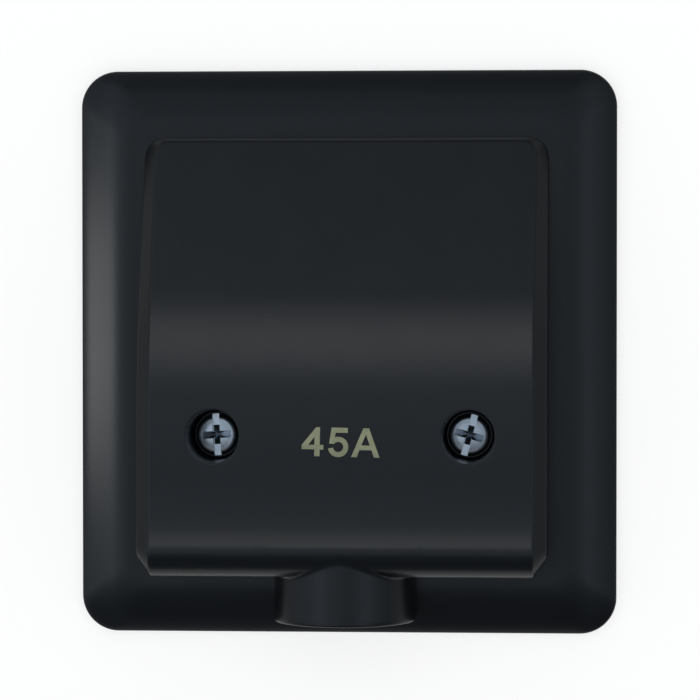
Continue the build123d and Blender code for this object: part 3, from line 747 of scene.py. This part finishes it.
def glyph_outlines():
    """Outer and inner outlines of a 4, a 5 and an A, in millimetres, each from its own left edge."""
    def bowl(radius, first, last, count):
        """Arc of the 5's bowl between two angles in degrees."""
        turn = np.radians(np.linspace(first, last, count))
        return np.stack([1.72 + radius * np.cos(turn), 1.65 + radius * np.sin(turn)], axis=-1)
    four = [np.array([(2.16, 0), (3.06, 0), (3.06, 1.14), (3.68, 1.14), (3.68, 1.92), (3.06, 1.92),
                      (3.06, 4.9), (2.42, 4.9), (0, 1.86), (0, 1.14), (2.16, 1.14)]),
            np.array([(2.16, 1.92), (1.12, 1.92), (2.16, 3.3)])]
    five = [np.concatenate([
        np.array([(0.2, 2.2), (0.55, 4.9), (3.3, 4.9), (3.3, 4.05), (1.27, 4.05), (1.12, 3.2)]),
        bowl(1.72, 108, -170, 40), bowl(0.86, -170, 145, 40)])]
    letter_a = [np.array([(0, 0), (0.95, 0), (1.38, 1.2), (3.42, 1.2), (3.85, 0), (4.8, 0), (2.96, 4.9),
                          (1.98, 4.9)]),
                np.array([(1.68, 2.0), (2.45, 3.85), (3.12, 2.0)])]
    return [(0.0, four), (4.46, five), (8.4, letter_a)]


def rating_print(skin):
    """The plain rating 45A as a thin layer of ink that follows the hood's front: flat outlines filled and
    given a thickness, turned by a little over a degree, then laid on the face's height at each place."""
    line = bpy.data.curves.new("rating_outline", "CURVE")
    line.dimensions, line.fill_mode, line.extrude = "2D", "BOTH", 0.5
    for shift, loops in glyph_outlines():
        for loop in loops:
            spline = line.splines.new("POLY")
            spline.points.add(len(loop) - 1)
            flat = np.column_stack([loop[:, 0] + shift, loop[:, 1], np.zeros(len(loop)), np.ones(len(loop))])
            spline.points.foreach_set("co", flat.ravel())
            spline.use_cyclic_u = True
    holder = bpy.data.objects.new("rating_outline", line)
    bpy.context.scene.collection.objects.link(holder)
    mesh = bpy.data.meshes.new_from_object(holder.evaluated_get(bpy.context.evaluated_depsgraph_get()))
    bpy.data.objects.remove(holder)
    spots = np.empty(len(mesh.vertices) * 3)
    mesh.vertices.foreach_get("co", spots)
    x, y, layer = spots.reshape(-1, 3).T
    x, y, slant = (x - INK["middle"]) * INK["scale"], y * INK["scale"], radians(INK["slant"])
    across = x * cos(slant) - y * sin(slant) + INK["x"]
    up = x * sin(slant) + y * cos(slant) + INK["y"]
    height = skin.front_z(up) + np.where(layer > 0, INK["over"], -INK["into"])
    mesh.vertices.foreach_set("co", stand(np.stack([across, up, height], axis=-1)).ravel())
    with opened(mesh) as work:
        bmesh.ops.remove_doubles(work, verts=work.verts, dist=WELD / 10)
        bmesh.ops.recalc_face_normals(work, faces=work.faces)
    piece("rating_print", mesh, "print_ink", "root")


def softened(node, look, width, body="root"):
    """A CAD node's own shape with its triangles merged into faces and its sharp edges rounded."""
    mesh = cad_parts[node].data.copy()
    with opened(mesh) as work:
        bmesh.ops.remove_doubles(work, verts=work.verts, dist=WELD)
        bmesh.ops.dissolve_limit(work, angle_limit=radians(1), verts=work.verts, edges=work.edges)
    mesh.materials.clear()
    piece(node + "_part", mesh, look, body, [node], sharp=30, rounding=width)


piece("front_plate_shell", mesh_from("front_plate_shell", plate_surface()), "black_gloss", "root",
      ["front_plate"])
hood_patches, hood_skin = hood_surface()
piece("hood_shell", mesh_from("hood_shell", hood_patches), "black_gloss", "root", ["hood"])
rating_print(hood_skin)

# The hood's screws are turned as in the photo; turns are in degrees.
clamp, block = CLAMP_PLACE, BLOCK_PLACE
for side, sign, turn in (("left", -1, 3.3), ("right", 1, -15.0)):
    well_x, clamp_x = sign * WELL["x"], sign * clamp["x"]
    pan_screw(f"hood_screw_{side}", "hood", "root", well_x, WELL["y"], WELL["floor"], turn)
    brass_insert(f"hood_insert_{side}", well_x, WELL["y"], SCREWS["hood"][2], WELL["low"], HOOD_INSERT)
    pan_screw(f"cord_clamp_screw_{side}", "clamp", "cord_clamp", clamp_x, clamp["y"], clamp["seat"], 25 * sign)
    brass_insert(f"cord_clamp_insert_{side}", clamp_x, clamp["y"], SCREWS["clamp"][2], clamp["insert"],
                 CLAMP_INSERT)
    pan_screw(f"block_screw_{side}", "block", "root", sign * block["x"], block["y"], block["seat"], 40 * sign)
for pole, x in POLES:
    for row, y in TERMINAL_ROWS:
        node = f"{pole}_{row}_screw"
        pan_screw(node, "terminal", node, x, y, TERMINAL_SEAT, 17 * (x / POLE_STEP) + y * 5)
    softened(f"{pole}_terminal", "brass", 0.2)
softened("base_moulding", "black_matt", 0.15)
softened("cord_clamp_bar", "black_matt", 0.25, "cord_clamp")
softened("terminal_block", "white_thermoset", 0.15)


def aimed(name, data, place, target):
    """A lamp or camera at a place, looking at a target."""
    made = bpy.data.objects.new(name, data)
    bpy.context.scene.collection.objects.link(made)
    made.location = place
    made.rotation_euler = (Vector(target) - Vector(place)).to_track_quat("-Z", "Y").to_euler()
    return made


def soft_light(name, lit, place, target, width, height, radiance):
    """Rectangular lamp for one piece, whose power is pi times its area times its brightness."""
    lamp = bpy.data.lights.new(name, "AREA")
    lamp.shape, lamp.size, lamp.size_y = "RECTANGLE", width, height
    lamp.energy = pi * width * height * radiance
    only = bpy.data.collections.new(lit + "_only")
    only.objects.link(bpy.data.objects[lit])
    aimed(name, lamp, place, target).light_linking.receiver_collection = only


def toward(azimuth, elevation, distance):
    """Place seen from the plate's middle: azimuth to the right, elevation up, out from the wall."""
    a, e = radians(azimuth), radians(elevation)
    return (distance * sin(a) * cos(e), -distance * cos(a) * cos(e), distance * sin(e))


scene = bpy.context.scene
scene.view_settings.view_transform = "Standard"

# The photo's plate has nearly parallel edges, so the camera aims between the plate's middle and the spot
# straight before it, and a small shift of the lens brings the plate back to the middle. Places in metres.
VIEW_DISTANCE, VIEW_RIGHT, VIEW_UP = 0.500, radians(4.3), radians(1.2)
AIM = Vector((0.0084, 0.0, 0.0003))
PIXELS_PER_MM, IMAGE, SENSOR, SHIFT = 5.873, 700, 36.0, -0.0689
viewpoint = Vector((VIEW_DISTANCE * tan(VIEW_RIGHT), -VIEW_DISTANCE, VIEW_DISTANCE * tan(VIEW_UP)))
eye = bpy.data.cameras.new("camera")
eye.sensor_width, eye.shift_x, eye.clip_start = SENSOR, SHIFT, 0.01
eye.lens = (AIM - viewpoint).length / MM * PIXELS_PER_MM * SENSOR / IMAGE
scene.camera = aimed("camera", eye, viewpoint, AIM)

# The first lamp makes the highlight along the hood's bend, the second the sheen on the left border.
soft_light("bend_light", "hood_shell", toward(-4, 22, 1.0), (0, 0, 0), 1.0, 0.30, 1.05)
soft_light("left_light", "front_plate_shell", (-0.180, -0.087, 0.0), (-0.04, 0, 0), 0.15, 0.055, 2.6)

# The room as reflections show it: brightness by elevation, times a factor by azimuth, in degrees.
PLAIN_LEVEL, ROOM_TINT, WHITE = 0.9, (0.86, 1.0, 1.14, 1), (1, 1, 1, 1)
BY_ELEVATION = ((-90, 0.13), (-60, 0.11), (-30, 0.14), (-16, 0.24), (-7, 0.52), (0, 0.52), (10, 0.48),
                (25, 0.40), (43, 0.38), (60, 0.20), (90, 0.12))
BY_AZIMUTH = ((-180, 0.9), (-100, 0.8), (-60, 1.1), (-36, 1.7), (-22, 1.2), (0, 1.0), (10, 0.85), (22, 1.0),
              (36, 1.4), (55, 1.0), (80, 0.6), (110, 0.6), (180, 0.9))
REAR = 0.25


def studio_world():
    """White to the camera, a plain level to diffuse rays, and the room's pattern to reflections, which see
    white in the rear as the camera does. An angle's place on its ramp is angle / range + 1/2."""
    world = bpy.data.worlds.new("studio")
    tree = Tree(world)
    way = tree.axes("Generated")
    rise = tree.math("MULTIPLY_ADD", tree.math("ARCSINE", way["Z"]), 1 / pi, 0.5)
    swing = tree.math("ARCTAN2", way["X"], tree.math("MULTIPLY", way["Y"], -1.0))
    swing = tree.math("MULTIPLY_ADD", swing, 1 / (2 * pi), 0.5)
    ramps = [tree.ramp(value, [(angle / span + 0.5, (level,) * 3) for angle, level in stops], "EASE")
             for value, stops, span in ((rise, BY_ELEVATION, 180), (swing, BY_AZIMUTH, 360))]
    room = tree.add("Background", {"Color": ROOM_TINT, "Strength": tree.math("MULTIPLY", *ramps)})
    plain = tree.add("Background", {"Color": WHITE, "Strength": PLAIN_LEVEL})
    white = tree.add("Background", {"Color": WHITE, "Strength": 1.0})
    light = tree.mix(tree.add("LightPath").outputs["Is Diffuse Ray"], room, plain)
    behind = tree.math("MULTIPLY", tree.mirrored(), tree.math("GREATER_THAN", way["Y"], REAR))
    tree.add("OutputWorld", {"Surface": tree.mix(tree.math("MAXIMUM", behind, tree.camera()), light, white)})
    return world


scene.world = studio_world()

# The wall, in metres: how far it reaches, its opening, which lies just inside the plate's outline, and its
# place a little behind the base. It is pale by its colour and by a glow that only the camera and, above and
# below the plate, reflections see.
WALL_REACH, WALL_GAP_X, WALL_GAP_Z, WALL_REAR = 3.0, 0.0430, 0.0450, 0.0002
WALL_COLOUR, WALL_GLOW, GLOW_MIRRORED, GLOW_FROM, GLOW_TO = (0.40, 0.40, 0.40, 1), 0.68, 0.45, 0.35, 0.65


def wall_paint():
    """Pale and matt in front, clear from behind, so the back of the object stays in view. Reflections see
    the glow by |z| / (|x| + |z|), eased between two values."""
    paint = bpy.data.materials.new("pale_wall")
    tree = Tree(paint)
    place = tree.axes("Object")
    aside, above = tree.math("ABSOLUTE", place["X"]), tree.math("ABSOLUTE", place["Z"])
    slant = tree.math("DIVIDE", above, tree.math("ADD", aside, above))
    ends = tree.add("MapRange", {"Value": slant, "From Min": GLOW_FROM, "From Max": GLOW_TO},
                    interpolation_type="SMOOTHSTEP")
    seen = tree.math("MULTIPLY", tree.mirrored(), tree.math("MULTIPLY", ends.outputs["Result"], GLOW_MIRRORED))
    seen = tree.math("MAXIMUM", seen, tree.camera())
    glow = tree.add("Emission", {"Color": WHITE, "Strength": tree.math("MULTIPLY", seen, WALL_GLOW)})
    both = tree.add("AddShader", {0: tree.add("BsdfDiffuse", {"Color": WALL_COLOUR}), 1: glow})
    back = tree.add("NewGeometry").outputs["Backfacing"]
    tree.add("OutputMaterial", {"Surface": tree.mix(back, both, tree.add("BsdfTransparent"))})
    return paint


wall_mesh = bpy.data.meshes.new("wall")
corners = [(x * sx, WALL_REAR, z * sz) for x, z in ((WALL_REACH, WALL_REACH), (WALL_GAP_X, WALL_GAP_Z))
           for sx, sz in ((-1, -1), (1, -1), (1, 1), (-1, 1))]
wall_mesh.from_pydata(corners, [], [(0, 1, 5, 4), (1, 2, 6, 5), (2, 3, 7, 6), (3, 0, 4, 7)])
wall_mesh.materials.append(wall_paint())
wall = bpy.data.objects.new("wall", wall_mesh)
scene.collection.objects.link(wall)
wall.visible_diffuse = wall.visible_shadow = False
